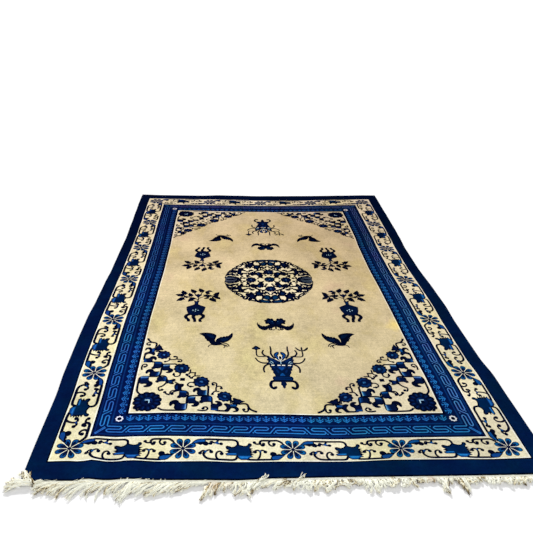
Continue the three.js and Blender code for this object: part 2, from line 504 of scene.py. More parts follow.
def curlLeaf(draw, x, y, turn=0, size=1.0, flip=False, pale=True, hook=True):
    # a leaf below its straight cut end, where it is palest; it darkens to a lobe or a curled hook
    with draw.at(x, y, turn, size, flipX=flip, stretch=0.88):
        if hook:
            end = [(20, -4), (20, -20), (26, -28), (36, -32), (42, -43), (37, -57), (24, -65), (8, -65),
                (2, -60), (8, -55), (14, -52), (13, -46), (4, -44), (-8, -46), (-17, -42), (-21, -34),
                (-20, -18)]
        else:
            end = [(20, -4), (20, -26), (24, -34), (29, -40), (25, -49), (14, -50), (6, -44), (-4, -46),
                (-14, -44), (-20, -36), (-20, -18)]
        draw.ink([(-20, 0), (20, 0)] + bend(end, step=9))
        draw.fill("motifNavy", [(-17, -2), (17, -2), (17, -24), (24, -36), (10, -38), (-16, -38)])
        draw.fill("deepBlue", [(-18, -2), (17, -2), (12, -13), (2, -16), (-8, -15), (-17, -20)])
        draw.fill("blue", [(-18, -1), (18, -1), (14, -6), (4, -8), (-8, -8), (-17, -12)])
        if pale:
            draw.fill("midPale", [(-18, 0), (18, 0), (16, -4), (-6, -5), (-18, -8)])
            draw.fill("leafPale", [(-19, 1), (19, 1), (17, -2), (-19, -3.5)])


def spikedLeaf(draw, x, y, turn=0, size=1.0, flip=False):
    # a navy leaf with pointed lobes
    with draw.at(x, y, turn, size, flipX=flip):
        draw.ink([(0, 30), (5, 16), (12, 10), (14, 0), (22, -14), (19, -20), (8, -17), (2, -22),
            (-6, -18), (-16, -20), (-13, -10), (-15, 2), (-9, 8), (-6, 18)])
        draw.fill("motifNavy", [(0, 20), (5, 8), (9, -4), (10, -12), (-6, -13), (-8, 2)])


# Field corners: sizes from the field's corner, mirrored about the diagonal
spandrel = {"vine": 6.0, "bloomA": (94, 365, 31), "bloomB": (181, 268, 35), "rose": (59, 61, 57)}


def cornerRose(draw, x, y, radius):
    with draw.at(x, y, size=radius / 56):
        draw.ink(rosette(72, lambda turn: 47 + 9 * math.sqrt(abs(math.sin(6 * turn + 0.4)))))
        for k in range(12):
            with draw.at(turn=30 * k + 11):
                draw.leaf([(26, 0), (30, 6), (40, 8), (48, 4), (48, -4), (40, -8), (30, -6)],
                    dye="motifNavy")
                draw.fill("deepBlue", [(32, 2.4), (44, 3.4), (44, -1), (32, -1)])
        draw.dot("motifNavy", 0, 0, 24, 14)
        draw.fill("deepBlue", arcLine(2, 6, 17, -20, 200, 9) + arcLine(2, 6, 10, 200, -20, 7))
        draw.fill("paleBlue", [(-10, 11), (9, 11), (9, -9), (5, -9), (4, 6), (-10, 6)])
        draw.dot("ink", -3, -3, 7, 8)


def spandrelHalf(draw):
    width = spandrel["vine"]
    draw.vine([(8, 492), (14, 478), (23, 466), (34, 460), (46, 457), (53, 449), (53, 436), (50, 420)], 7,
        5.5)
    draw.curl([(30, 458), (14, 458), (8, 449), (13, 440), (21, 441)], 5.4, 6.4)
    spikedLeaf(draw, 66, 418, 0, 1.0)
    draw.leaf([(7, 402), (9, 415), (18, 421), (29, 420), (37, 412), (50, 418), (52, 400), (50, 386),
        (55, 372), (49, 362), (38, 371), (26, 373), (16, 366), (9, 360), (8, 378), (20, 386), (28, 392),
        (26, 404), (16, 409), (10, 398)])
    draw.fill("motifNavy", [(30, 386), (48, 384), (46, 372), (28, 376)])
    draw.fill("blue", [(38, 412), (48, 410), (49, 388), (39, 388)])
    draw.vine([(54, 395), (72, 394), (82, 384), (90, 378)], 4)
    draw.vine([(54, 388), (70, 388), (80, 378)], 3)
    draw.vine([(12, 372), (11, 350), (12, 330)], width)
    curlLeaf(draw, 12, 326, 90, 0.82, False, False)
    draw.vine([(46, 316), (60, 314), (82, 313), (92, 304), (95, 290), (95, 250), (93, 226)], width)
    curlLeaf(draw, 75, 313, 0, 0.95, True, False, False)
    curlLeaf(draw, 114, 292, 0, 0.84)
    draw.stroke("ink", [(96, 298), (150, 299), (160, 292)], 6.0)
    draw.curl([(12, 260), (9, 278), (12, 294), (22, 299), (30, 292), (27, 282), (21, 281)], 5.2, 6.0)
    curlLeaf(draw, 88, 233, -90, 0.88, True)
    draw.vine([(94, 232), (86, 217), (64, 215), (36, 215), (18, 213), (10, 202), (9, 180), (9, 140),
        (12, 120), (24, 104)], width)
    curlLeaf(draw, 31, 213, 0, 1.0)
    draw.vine([(86, 216), (106, 218), (119, 210), (124, 194), (123, 174), (115, 158), (102, 147)], 5.4)
    curlLeaf(draw, 122, 197, -90, 0.86, False, False, False)
    draw.stroke("ink", [(150, 238), (150, 226)], 4.6)
    draw.curl([(177, 240), (176, 222), (167, 214), (156, 214), (150, 226)], 4.4, 5.6)
    draw.curl([(122, 344), (122, 326), (112, 318), (105, 316)], 4.2, 5.4)
    draw.curl([(121, 331), (146, 331), (155, 340), (152, 352), (143, 352)], 4.2, 6.0)
    draw.curl([(154, 332), (170, 332), (177, 322), (172, 314), (164, 318)], 4.2, 6.0)
    draw.curl([(219, 262), (219, 244), (214, 232), (205, 228)], 4.2, 5.2)
    draw.stroke("ink", [(216, 240), (244, 240)], 4.2)
    draw.curl([(217, 222), (217, 212), (224, 206)], 4.2, 5.6)


def spandrelPattern(draw):
    draw.fill("paleField", [(0, 0), (478, 0), (478, 12), (432, 52), (330, 118), (226, 226), (118, 330),
        (52, 432), (12, 478), (0, 478)])
    for turned in (draw.at(), draw.at(turn=-90, flipX=True)):
        with turned:
            spandrelHalf(draw)
            roundBloom(draw, *spandrel["bloomA"])
            roundBloom(draw, *spandrel["bloomB"])
    # where the two halves meet
    draw.leaf([(122, 198), (132, 190), (146, 194), (158, 198), (160, 184), (150, 178), (156, 166),
        (144, 164), (132, 170), (122, 168)])
    draw.fill("deepBlue", [(130, 188), (146, 188), (148, 174), (134, 172)])
    draw.leaf([(160, 158), (170, 172), (180, 166), (196, 166), (196, 152), (188, 142), (190, 126),
        (172, 122), (162, 134)])
    draw.fill("deepBlue", [(164, 150), (172, 160), (174, 132), (165, 134)])
    draw.curl([(108, 151), (97, 146), (96, 133), (102, 124), (110, 129)], 4.6, 6.4)
    draw.curl([(170, 124), (154, 124), (146, 116), (145, 106), (153, 103)], 4.6, 6.4)
    draw.curl([(144, 99), (132, 103), (123, 114)], 7, 6.4, 4)
    draw.stroke("ink", [(158, 178), (176, 166)], 4)
    cornerRose(draw, *spandrel["rose"])
    for x in (184.5, 194.5):
        for y in (190.5, 199.5):
            draw.ink([(x - 4.6, y - 4.2), (x + 4.6, y - 4.2), (x + 4.6, y + 4.2), (x - 4.6, y + 4.2)])
    draw.leaf([(8, 26), (12, 36), (20, 32), (18, 22), (24, 18), (34, 14), (30, 6), (22, 8), (20, 15),
        (12, 18)], 8)
    draw.stroke("ink", [(22, 22), (34, 34)], 4)


def medallionQuarter(draw):
    # the upper right quarter, from the medallion's middle
    draw.stroke("ink", arcLine(0, 0, 246, 4, 27, 12), 8, 5)
    draw.vine([(246, 24), (236, 48), (222, 66), (206, 76)], 8, 4)
    draw.stroke("ink", arcLine(0, 0, 245, 60, 88, 12), 5, 7)
    for k in range(9):
        spin = math.radians(29 + 4 * k)
        draw.dot("ink", 243 * math.cos(spin), 243 * math.sin(spin), 6.4 if k % 2 else 5, 7)
    # the scroll round the rim flower, with its two leaves
    draw.vine([(40, 168), (62, 172), (80, 172), (87, 190), (85, 212), (76, 232), (54, 246)], 8.5, 6)
    draw.vine([(46, 170), (43, 190), (48, 212)], 5)
    draw.leaf([(86, 168), (84, 196), (92, 210), (104, 208), (112, 226), (121, 226), (119, 204),
        (114, 186), (130, 174), (136, 158), (124, 150), (112, 148), (105, 134), (97, 148)])
    draw.fill("motifNavy", [(92, 196), (108, 198), (114, 178), (102, 162), (94, 172)])
    draw.ink([(44, 178), (56, 170), (68, 176), (84, 172), (80, 158), (92, 148), (80, 140), (78, 124),
        (66, 132), (54, 126), (50, 144), (40, 152), (46, 164)])
    draw.fill("palmetteBlue", [(56, 162), (74, 163), (72, 142), (58, 140)])
    draw.curl([(118, 190), (132, 180), (146, 186), (148, 202), (138, 212), (127, 206), (129, 196)], 5, 6)
    draw.vine([(150, 196), (152, 178), (160, 162), (176, 150)], 4.6)
    draw.curl([(176, 168), (184, 150), (182, 134), (192, 124), (203, 130)], 5, 6)
    draw.leaf([(84, 111), (98, 120), (114, 112), (100, 102)])
    draw.vine([(150, 130), (164, 137), (178, 128), (194, 134), (208, 124)], 5.4, 4)
    draw.vine([(118, 136), (130, 144), (144, 138)], 5)
    draw.vine([(106, 92), (116, 100), (128, 96)], 5)
    draw.vine([(214, 60), (204, 50), (188, 54)], 6, 4)
    draw.ink([(22, 152), (34, 158), (46, 150), (36, 144)])
    draw.ink([(150, 14), (160, 20), (168, 12), (160, 6)])
    # the leafy scroll beside the side flower
    draw.leaf([(121, 84), (136, 79), (148, 84), (158, 96), (150, 106), (134, 100), (128, 108), (142, 118),
        (147, 138), (154, 142), (160, 126), (169, 136), (174, 120), (178, 108), (192, 112), (208, 112),
        (217, 98), (209, 82), (194, 82), (181, 86), (177, 68), (166, 62), (158, 44), (149, 56), (147, 68),
        (130, 68), (122, 74)])
    draw.fill("motifNavy", [(160, 102), (172, 104), (172, 76), (160, 72)])
    draw.fill("cream", [(136, 90), (152, 91), (158, 84), (140, 82)])
    draw.vine([(212, 102), (226, 96), (234, 80)], 7)
    draw.vine([(176, 70), (182, 56), (174, 44)], 6)
    draw.vine([(206, 104), (208, 118), (202, 128)], 5)
    # the ring round the middle
    draw.stroke("ink", arcLine(0, 0, 127, 12, 46, 10), 7)
    draw.stroke("ink", arcLine(0, 0, 124, 48, 76, 8), 7)
    draw.leaf([(32, 44), (44, 34), (58, 40), (66, 54), (78, 56), (92, 46), (102, 54), (96, 74), (82, 90),
        (68, 84), (54, 92), (44, 78), (34, 62)])
    draw.fill("deepBlue", [(52, 58), (62, 60), (66, 80), (54, 82)])
    draw.vine([(78, 96), (64, 106), (58, 118), (66, 128)], 6)
    draw.vine([(96, 60), (110, 68), (118, 84)], 6)
    draw.vine([(58, 40), (46, 30), (36, 34)], 6)
    draw.curl([(44, 84), (36, 74), (26, 76)], 5, 5.6)
    draw.vine([(30, 18), (46, 26), (62, 20), (60, 8)], 5, 3)
    draw.vine([(104, 34), (122, 44), (128, 60)], 5, 3)
    for x, y, radius in (
            (141, 18, 7.6), (152, 36, 5.5), (16, 50, 6), (20, 142, 6.4), (36, 146, 5.4), (34, 118, 6),
            (22, 66, 6), (24, 110, 5), (12, 122, 6), (160, 26, 5), (178, 24, 5), (192, 34, 6)):
        draw.dot("ink", x, y, radius, 8)
    draw.vine([(24, 128), (30, 144), (32, 162)], 4)
    draw.stroke("ink", [(41, 122), (44, 150)], 3.4)


def rimFlower(draw, light):
    # a flower that stands on the medallion's rim, four round lobes pointing inwards
    for _ in draw.halves():
        lower = [(1, 3), (20, 1), (42, 4), (56, 14), (58, 28), (44, 27), (28, 22), (5, 20)]
        draw.leaf(lower, 8)
        draw.leaf([(9, 7), (26, 6), (42, 10), (51, 20), (38, 21), (20, 16)], 8, dye=light)
        upper = [(2, 26), (18, 26), (32, 33), (38, 48), (30, 62), (16, 64), (3, 52)]
        draw.leaf(upper, 8)
        draw.leaf([(9, 32), (20, 32), (30, 40), (31, 50), (22, 57), (12, 52)], 8, dye=light)
        draw.vine([(60, 16), (72, 24), (77, 42), (70, 58)], 5, 4)
        draw.vine([(3, 66), (10, 74), (8, 84)], 3.4)


def rimLotus(draw):
    # a lotus that stands on the medallion's rim, its pointed petals striped cream, grey and ink
    for _ in draw.halves():
        draw.ink([(0, 2), (22, 2), (40, 10), (47, 26), (40, 52), (26, 74), (8, 88), (0, 92)])
        draw.stroke("greyBlue", bend([(7, 4), (13, 22), (12, 44), (4, 66)]), 4.6, 1)
        draw.stroke("greyBlue", bend([(20, 4), (28, 20), (28, 38), (19, 58)]), 3, 0.6)
        draw.stroke("cream", bend([(33, 4), (48, 18), (46, 36), (34, 62)]), 4.4, 1)
        draw.leaf([(46, 4), (62, 10), (71, 28), (64, 52), (46, 72), (54, 46), (54, 24)])
        draw.vine([(76, 14), (86, 30), (82, 50), (72, 64)], 6, 3)


def medallion(draw):
    draw.dot("cream", 0, 0, 250, 72)
    for flipX in (False, True):
        for flipY in (False, True):
            with draw.at(flipX=flipX, flipY=flipY):
                medallionQuarter(draw)
    for turn in (0, 90, 180, 270):
        with draw.at(turn=turn):
            with draw.at(0, -250):
                if turn % 180:
                    rimLotus(draw)
                else:
                    with draw.at(size=1.3, stretch=0.86):
                        rimFlower(draw, "rimBlue")
    for x, y in ((-102, -2), (98, -1), (4, 90), (4, -102)):
        roundBloom(draw, x, y, 30, "motifNavy")
    roundBloom(draw, 4, 3, 30, "rimBlue")


# Vase of sprays: sizes from the middle of its stand's underside
def vaseHalf(draw):
    draw.stroke("ink", bend([(2, 46), (41, 46), (52, 37), (56, 22), (53, 7), (44, -1), (36, 4), (37, 11)],
        step=6), 9.6, 9)
    draw.dot("ink", 37, 6, 6)
    draw.fill("motifNavy", [(0, 78), (0, 50), (36, 50), (43, 55), (45, 66), (40, 76), (30, 78)])
    draw.fill("potBlue", [(0, 75), (0, 52), (34, 52), (40, 57), (41, 66), (36, 74)])
    draw.fill("deepBlue", [(0, 56), (37, 56), (38, 62), (0, 62)])
    draw.fill("deepBlue", [(0, 68), (34, 68), (32, 73), (0, 73)])
    draw.fill("motifNavy", [(0, 160), (0, 76), (31, 76), (34, 90), (40, 100), (39, 112), (46, 118),
        (45, 132), (51, 140), (52, 156), (58, 168), (56, 180), (62, 190), (56, 198), (60, 208), (52, 214),
        (44, 208), (22, 192), (0, 176)])
    draw.fill("potBlue", [(0, 158), (0, 78), (27, 78), (30, 92), (35, 102), (36, 114), (41, 122),
        (42, 134), (47, 144), (48, 156), (52, 170), (48, 190), (40, 200), (22, 186), (0, 170)])
    draw.fill("deepBlue", [(14, 96), (22, 104), (26, 118), (20, 122), (14, 112)])
    draw.fill("deepBlue", [(26, 128), (36, 132), (40, 143), (30, 143)])
    draw.fill("blue", bend([(0, 98), (5, 94), (10, 86), (11, 80)]) + [(0, 80)])
    draw.fill("deepBlue", bend([(0, 118), (10, 124), (20, 136), (18, 148), (8, 150)]) + [(0, 146)])
    draw.fill("blue", bend([(0, 116), (7, 124), (12, 134), (9, 142), (3, 138)]) + [(0, 136)])
    draw.fill("brightCream", [(3, 148.5), (17, 148.5), (17, 154.5), (3, 154.5)])
    draw.fill("brightCream", [(30, 148.5), (45, 148.5), (43, 154.5), (30, 154.5)])
    draw.stroke("paleBlue", bend([(34, 166), (39, 176), (47, 180)]), 3.0)
    draw.stroke("paleBlue", bend([(40, 160), (46, 168), (52, 168)]), 2.4)
    draw.fill("deepBlue", [(24, 170), (38, 184), (50, 196), (46, 204), (30, 192), (16, 178)])
    draw.leaf([(2, 184), (10, 188), (18, 200), (28, 222), (24, 236), (14, 246), (5, 248), (5, 232),
        (12, 220), (4, 208)], 8)
    draw.leaf([(8, 194), (16, 204), (24, 222), (20, 234), (9, 244), (9, 236), (16, 222), (8, 206)], 8,
        dye="blue")
    draw.stroke("brightCream", bend([(0, 180), (12, 186), (22, 198), (32, 212)]), 2.8)
    draw.stroke("brightCream", bend([(0, 186), (6, 194), (7, 212), (0, 226)]), 2.4)
    draw.vine([(24, 200), (32, 212), (39, 230), (40, 246), (38, 262), (40, 290)], 7, 4)
    draw.vine([(48, 212), (62, 216), (72, 224), (79, 240), (76, 252), (72, 262)], 7, 4.6)
    draw.vine([(60, 214), (84, 213), (98, 214), (105, 226), (105, 258)], 4.6, 4)
    draw.vine([(56, 166), (76, 166), (88, 170), (100, 180), (108, 194), (112, 204)], 7, 4)
    draw.vine([(54, 158), (66, 152), (76, 138), (79, 120), (76, 102)], 7, 4.6)


def vaseOfSprays(draw):
    draw.stroke("ink", [(0, 50), (0, 40)], 9)
    for _ in draw.halves():
        vaseHalf(draw)
    draw.stroke("paleBlue", [(0, 184), (0, 160)], 3.4)
    draw.fill("motifNavy", [(0, -3), (7, 8), (6, 14), (13, 24), (9, 44), (-9, 44), (-13, 24), (-6, 14),
        (-7, 8)])
    draw.leaf([(0, 196), (5, 206), (0, 220), (-5, 206)], 6)
    draw.leaf([(-105, 256), (-98, 266), (-88, 268), (-86, 275), (-96, 286), (-105, 294), (-114, 286),
        (-124, 275), (-122, 268), (-112, 266)], 5)
    draw.dot("deepBlue", -105, 275, 7)
    draw.leaf([(104, 262), (96, 264), (82, 280), (76, 284), (80, 272), (88, 262), (98, 256)], 5)
    draw.leaf([(105, 258), (109, 272), (106, 288), (101, 274)], 5)
    draw.leaf([(106, 262), (114, 264), (130, 282), (136, 284), (132, 270), (122, 260), (112, 256)], 5)


# Pot plant: sizes from the middle of the pot, seen on the near left; leaf rows are place, turn, size
plantLeaves = [(-74, 150, 24, 1.0), (-92, 126, 78, 1.0), (-86, 84, 132, 1.0), (-60, 108, 60, 0.62),
    (-38, 128, 24, 0.85), (-24, 168, 36, 0.95), (-30, 82, 150, 1.0), (18, 176, 28, 0.95),
    (52, 152, 30, 0.75), (52, 120, 70, 0.9), (50, 96, 110, 0.55), (84, 80, -140, 1.05),
    (102, 138, -28, 0.95), (96, 116, -70, 0.7), (108, 100, -128, 0.8)]
plantLeafSize = 1.12


def plantLeaf(draw, x, y, turn, size):
    with draw.at(x, y, turn, size * plantLeafSize):
        draw.ink([(0, -22), (6, -16), (14, -12), (13, -2), (9, 12), (1, 26), (-7, 14), (-13, 8),
            (-11, -4), (-15, -14), (-5, -16)])


def potPlant(draw):
    for line, width in (
            ([(2, 44), (4, 64), (8, 84), (6, 100)], 4.6),
            ([(5, 78), (-16, 98), (-40, 104), (-62, 112), (-78, 128)], 3.2),
            ([(-60, 112), (-76, 104), (-84, 90)], 3),
            ([(8, 92), (24, 104), (44, 118), (62, 128), (80, 122), (98, 108)], 3.4),
            ([(44, 118), (52, 138), (50, 160)], 3),
            ([(62, 128), (78, 112), (84, 92)], 3),
            ([(8, 104), (20, 140), (24, 166)], 3),
            ([(6, 100), (-10, 130), (-22, 160)], 3),
            ([(0, 60), (-18, 72), (-28, 84)], 3.2)):
        draw.stroke("ink", bend(line, step=9), width, 3.0)
    for row in plantLeaves:
        plantLeaf(draw, *row)
    draw.leaf([(6, 104), (16, 116), (24, 126), (20, 138), (10, 134), (4, 142), (-6, 134), (-14, 138),
        (-14, 122), (-4, 116)], 7, dye="motifNavy")
    draw.leaf([(46, 166), (52, 176), (60, 180), (72, 176), (80, 166), (70, 162), (58, 160)], 7,
        dye="motifNavy")
    draw.fill("motifNavy", mirrored([(0, 66), (-6, 62), (-12, 70), (-15, 68), (-10, 50), (-10, 34),
        (-20, 26), (-38, 16), (-50, 6), (-46, -26), (-36, -58), (-26, -68), (-14, -76), (0, -78)]))
    draw.fill("potBlue", mirrored([(0, 10), (-22, 4), (-36, -6), (-34, -30), (-20, -54), (0, -58)]))
    draw.fill("motifNavy", mirrored([(0, -6), (-14, -12), (-20, -26), (-12, -42), (0, -48)]))
    for x, y in ((0, -17), (0, -33), (-13, -25), (13, -25)):
        draw.fill("paleBlue", arcLine(x, y, 3.0, 0, 315, 7, 1.6))
    draw.fill("deepBlue", [(-5, 40), (5, 40), (4, 60), (-4, 60)])
    for line in ([(-26, -62), (-40, -72), (-45, -88), (-38, -102), (-30, -112), (-28, -124)],
                 [(-4, -70), (-7, -88), (-3, -102), (1, -112), (3, -128)],
                 [(26, -62), (41, -74), (42, -90), (32, -104), (27, -116), (30, -128)]):
        draw.stroke("ink", bend(line, step=7), 15, 10)
        draw.ink(arcLine(line[-1][0], line[-1][1], 8.5, 0, 315, 7, 0.8))


def bat(draw):
    # seen from above with its head to the near end, wings swept back and up
    for _ in draw.halves():
        draw.ink(bend([(2, 16), (10, 12), (30, 6), (42, -2), (52, -8), (62, -4)], step=7)
            + [(66, -10), (72, 0), (76, -2), (80, 8), (86, 10), (89, 30)] + bend([(92, 10), (86, -16),
            (74, -34), (58, -42), (46, -38), (38, -26), (26, -16), (12, -12), (2, -14)], step=7))
        draw.ink(bend([(0, 2), (14, 0), (28, 6), (34, 14), (44, 12), (50, 20), (48, 30), (54, 38),
            (50, 48), (42, 50), (40, 60), (30, 64), (22, 58), (16, 62), (8, 56), (8, 46), (0, 42)],
            step=7))
        draw.leaf([(6, 10), (20, 12), (32, 22), (40, 34), (34, 48), (20, 48), (10, 36)], 8,
            dye="potBlue")
        draw.curl([(8, -10), (20, -20), (24, -32), (14, -40), (8, -34)], 5, 0, 3.4)
        draw.curl([(20, -14), (30, -22), (34, -34), (26, -38)], 4.4, 4)
        draw.fill("midPale", arcLine(14, 34, 2.6, 0, 300, 5))
    draw.stroke("ink", [(0, 10), (0, -34)], 8, 4)


def flyingBird(draw):
    # two raised wings over a small body, beak and feet at the right
    draw.ink(bend([(-82, 46), (-62, 55), (-38, 55), (-14, 48), (0, 34), (-2, 16), (-6, 0), (-4, -18),
        (4, -34)], step=8) + [(-6, -42), (-14, -34), (-22, -38), (-28, -26), (-34, -14), (-42, -12),
        (-46, 2), (-52, 8), (-54, 20), (-62, 30), (-70, 38)])
    draw.ink(bend([(76, 58), (78, 36), (70, 10), (56, -10), (40, -20), (20, -24), (12, -34)], step=8)
        + [(-4, -42), (-2, -24)] + bend([(-2, -22), (0, -4), (8, 10), (16, 16)], step=8) + [(22, 24),
        (28, 20), (36, 28), (42, 24), (50, 32), (56, 30), (66, 44)])
    draw.leaf([(-16, -26), (-22, -40), (-8, -46), (14, -44), (26, -36), (22, -26), (6, -22)])
    draw.leaf([(-48, 42), (-28, 42), (-12, 30), (-12, 12), (-24, 14), (-38, 28)], dye="potBlue")
    draw.leaf([(20, 6), (36, 12), (52, 14), (60, 10), (48, -6), (30, -12)], dye="potBlue")
    draw.curl([(20, -30), (34, -26), (48, -30), (58, -40), (60, -52)], 5, 0, 3)
    draw.curl([(24, -38), (38, -40), (42, -52), (36, -64)], 4.6, 0, 2.8)
    draw.curl([(34, -44), (48, -44), (52, -56)], 4, 0, 2.6)
    draw.curl([(-18, -40), (-30, -46), (-36, -60)], 3.4, 0, 2.4)


# How bold the near-black is drawn: the weight of lines, and how far shapes spread
boldness = {
    "border": {0: (1.18, 0.9), 90: (1.2, 0.8), 180: (1.28, 0.8), 270: (1.25, 1.6)},
    "guard": (1.1, 0.8),
    "nearCorner": (1.2, 1.0),
    "farCorner": (1.25, 1.1),
    "nearMotif": (1.3, 0.8),
    "farMotif": (1.2, 1.0),
    "medallion": (1.4, 2.2),
}
fieldMotifs = {
    "vase": (2, -921), "bat": (2, 459), "bird": (288, -581), "plant": (400, -299), "medallion": (-2, 2),
}
rightBirdShift = 9
medallionSize = 1.014


def fieldPattern(draw):
    for flipX in (False, True):
        for flipY in (False, True):
            with draw.at(flipX=flipX, flipY=flipY):
                draw.weight, draw.swell = boldness["farCorner" if flipY else "nearCorner"]
                with draw.at(-halfWidth + bands["fieldStart"], -halfLength + bands["fieldStart"]):
                    spandrelPattern(draw)
                draw.weight, draw.swell = boldness["farMotif" if flipY else "nearMotif"]
                plantX, plantY = fieldMotifs["plant"]
                with draw.at(-plantX, plantY):
                    potPlant(draw)
                birdX, birdY = fieldMotifs["bird"]
                with draw.at(-birdX - rightBirdShift * flipX, birdY):
                    flyingBird(draw)
    with draw.at(*fieldMotifs["medallion"], size=medallionSize):
        draw.weight, draw.swell = boldness["medallion"]
        medallion(draw)
    for flipY in (False, True):
        draw.weight, draw.swell = boldness["farMotif" if flipY else "nearMotif"]
        with draw.at(flipY=flipY):
            with draw.at(*fieldMotifs["vase"]):
                vaseOfSprays(draw)
            with draw.at(fieldMotifs["bat"][0], -fieldMotifs["bat"][1]):
                bat(draw)


def frameOutline(inset):
    x = halfWidth - inset
    y = halfLength - inset
    return divide([(-x, -y), (x, -y), (x, y), (-x, y)], rug["edgeStep"])


def drawPattern():
    draw = Drawing()
    outer = bands["outerEnd"]
    inner = bands["creamEnd"]
    middle = bands["fretMiddle"]
    for dye, inset in (
            ("navy", rug["rimRound"]),
            ("edgeLineAndSideShade", outer - bands["darkLine"]),
            ("brightCream", outer),
            ("cream", outer + bands["creamLine"]),
            ("brightCream", inner - bands["creamLine"]),
            ("edgeLineAndSideShade", inner),
            ("guardNavy", inner + bands["darkLine"]),
            ("guardTint", inner + 11),
            ("guardNavy", inner + 14),
            ("guardTint", middle + 24),
            ("guardNavy", middle + 30),
            ("ink", bands["guardEnd"] - 9),
            ("brightCream", bands["guardEnd"]),
            ("field", bands["fieldStart"])):
        draw.fill(dye, frameOutline(inset))
    for turn in (0, 90, 180, 270):
        short = turn in (0, 180)
        reach, across = (halfWidth, halfLength) if short else (halfLength, halfWidth)
        count = "shortCount" if short else "longCount"
        draw.weight, draw.swell = boldness["border"][turn]
        with draw.at(turn=turn):
            with draw.at(0, -across + borderFlower["middle"]):
                creamSide(draw, reach, borderFlower[count])
            draw.weight, draw.swell = boldness["guard"]
            with draw.at(0, -across + middle):
                fretSide(draw, reach, fret[count], "fretPale" if turn in (90, 180) else "fretBlue")
            trefoilSide(draw, reach, -across + bands["trefoilMiddle"])
            fretCorner(draw, -reach + middle, -across + middle)
            cornerStar(draw, -reach + bands["starMiddle"], -across + bands["starMiddle"])
    fieldPattern(draw)
    return draw.shapes


# Meshes

def addObject(name, data):
    made = bpy.data.objects.new(name, data)
    bpy.context.collection.objects.link(made)
    return made


def addMesh(name, verts, faces, unit=mm):
    mesh = bpy.data.meshes.new(name)
    mesh.from_pydata([(x * unit, y * unit, z * unit) for x, y, z in verts], [], faces)
    return addObject(name, mesh)


def triangulate(shapes):
    # cuts the flat rug along every outline, and gives each triangle the dye painted last on it
    places = []
    outlines = []
    for dye, points in shapes:
        outlines.append(range(len(places), len(places) + len(points)))
        places += points
    step = rug["gridStep"]
    inner = rug["rimRound"] + 8
    columns = round(2 * (halfWidth - inner) / step)
    rows = round(2 * (halfLength - inner) / step)
    for row in range(rows + 1):
        for column in range(columns + 1):
            shift = 0.31 * step * (row % 2)
            x = -halfWidth + inner + 2 * (halfWidth - inner) * column / columns
            y = -halfLength + inner + 2 * (halfLength - inner) * row / rows
            places.append((min(x + shift, halfWidth - inner), y))
    flat = [Vector(place) for place in places]
    points, _, faces, _, _, sources = geometry.delaunay_2d_cdt(
        flat, [], [list(outline) for outline in outlines], 1, 0.02, True)
    wools = [shapes[max(source)][0] if source else shapes[0][0] for source in sources]
    return points, faces, wools


def rimOrder(points, inset):
    # which points lie on the top's outer line, anticlockwise
    x = halfWidth - inset
    y = halfLength - inset
    rim = [k for k, point in enumerate(points) if min(abs(abs(point.x) - x), abs(abs(point.y) - y)) < 0.05]
    return sorted(rim, key=lambda k: math.atan2(points[k].y, points[k].x))


def pileHeight(x, y):
    size = rug["rippleSize"]
    return rug["thickness"] + rug["ripple"] * noise.noise(Vector((x / size, y / size, 3.0)))


def makePile():
    shapes = drawPattern()
    points, faces, wools = triangulate(shapes)
    print("pattern:", len(shapes), "shapes,", len(points), "points,", len(faces), "triangles")
    verts = [(*layDown(p.x, p.y), pileHeight(p.x, p.y)) for p in points]
    faces = [tuple(face) for face in faces]
    loop = rimOrder(points, rug["rimRound"])
    previous = loop
    levels = []
    for k in range(1, rug["rimSteps"] + 1):
        turn = math.pi / 2 * k / rug["rimSteps"]
        levels.append((rug["rimRound"] * (1 - math.sin(turn)), 1 - math.cos(turn)))
    levels.append((0, rug["sideDrop"]))
    levels.append((rug["underInset"], None))  # on the floor
    start = len(faces)
    for inset, drop in levels:
        ring = []
        for index in loop:
            x = points[index].x * (halfWidth - inset) / (halfWidth - rug["rimRound"])
            y = points[index].y * (halfLength - inset) / (halfLength - rug["rimRound"])
            height = 0 if drop is None else pileHeight(x, y) - drop * rug["rimRound"]
            wobble = 0 if inset else rug["sideWobble"] * noise.noise(Vector((x / 9, y / 9, inset)))
            placeX, placeY = layDown(x, y)
            ring.append(len(verts))
            verts.append((placeX + wobble * (x > 0) - wobble * (x < 0), placeY, height))
        for k, upper in enumerate(previous):
            after = (k + 1) % len(loop)
            faces.append((upper, ring[k], ring[after], previous[after]))
            # the steep lower rim and the upright side take the near-black dye as painted shade
            wools.append("navy" if inset > 1 else "edgeLineAndSideShade")
        previous = ring
    side = len(faces)
    floorLoop = [Vector((verts[index][0], verts[index][1], 0)) for index in previous]
    for a, b, c in geometry.tessellate_polygon([floorLoop]):
        faces.append((previous[a], previous[c], previous[b]))
        wools.append("back")
    piece = addMesh("pile_rug", verts, faces)
    mesh = piece.data
    colours = mesh.attributes.new("wool", "FLOAT_COLOR", "FACE")
    table = {name: (*linear(colour), 1.0) for name, colour in dyes.items()}
    for k, name in enumerate(wools):
        colours.data[k].color = table[name]
    for k in range(start, side):
        mesh.polygons[k].use_smooth = True
    return piece


# Shader nodes

class Link:
    # a socket of a finish, so that sums on it can be written as sums
    def __init__(self, finish, socket):
        self.finish = finish
        self.socket = socket

    def maths(self, operation, first, second):
        return self.finish.node("ShaderNodeMath", {"operation": operation}, {0: first, 1: second})

    def __add__(self, other):
        return self.maths("ADD", self, other)

    def __radd__(self, other):
        return self.maths("ADD", other, self)

    def __sub__(self, other):
        return self.maths("SUBTRACT", self, other)

    def __rsub__(self, other):
        return self.maths("SUBTRACT", other, self)

    def __mul__(self, other):
        return self.maths("MULTIPLY", self, other)

    def __rmul__(self, other):
        return self.maths("MULTIPLY", other, self)


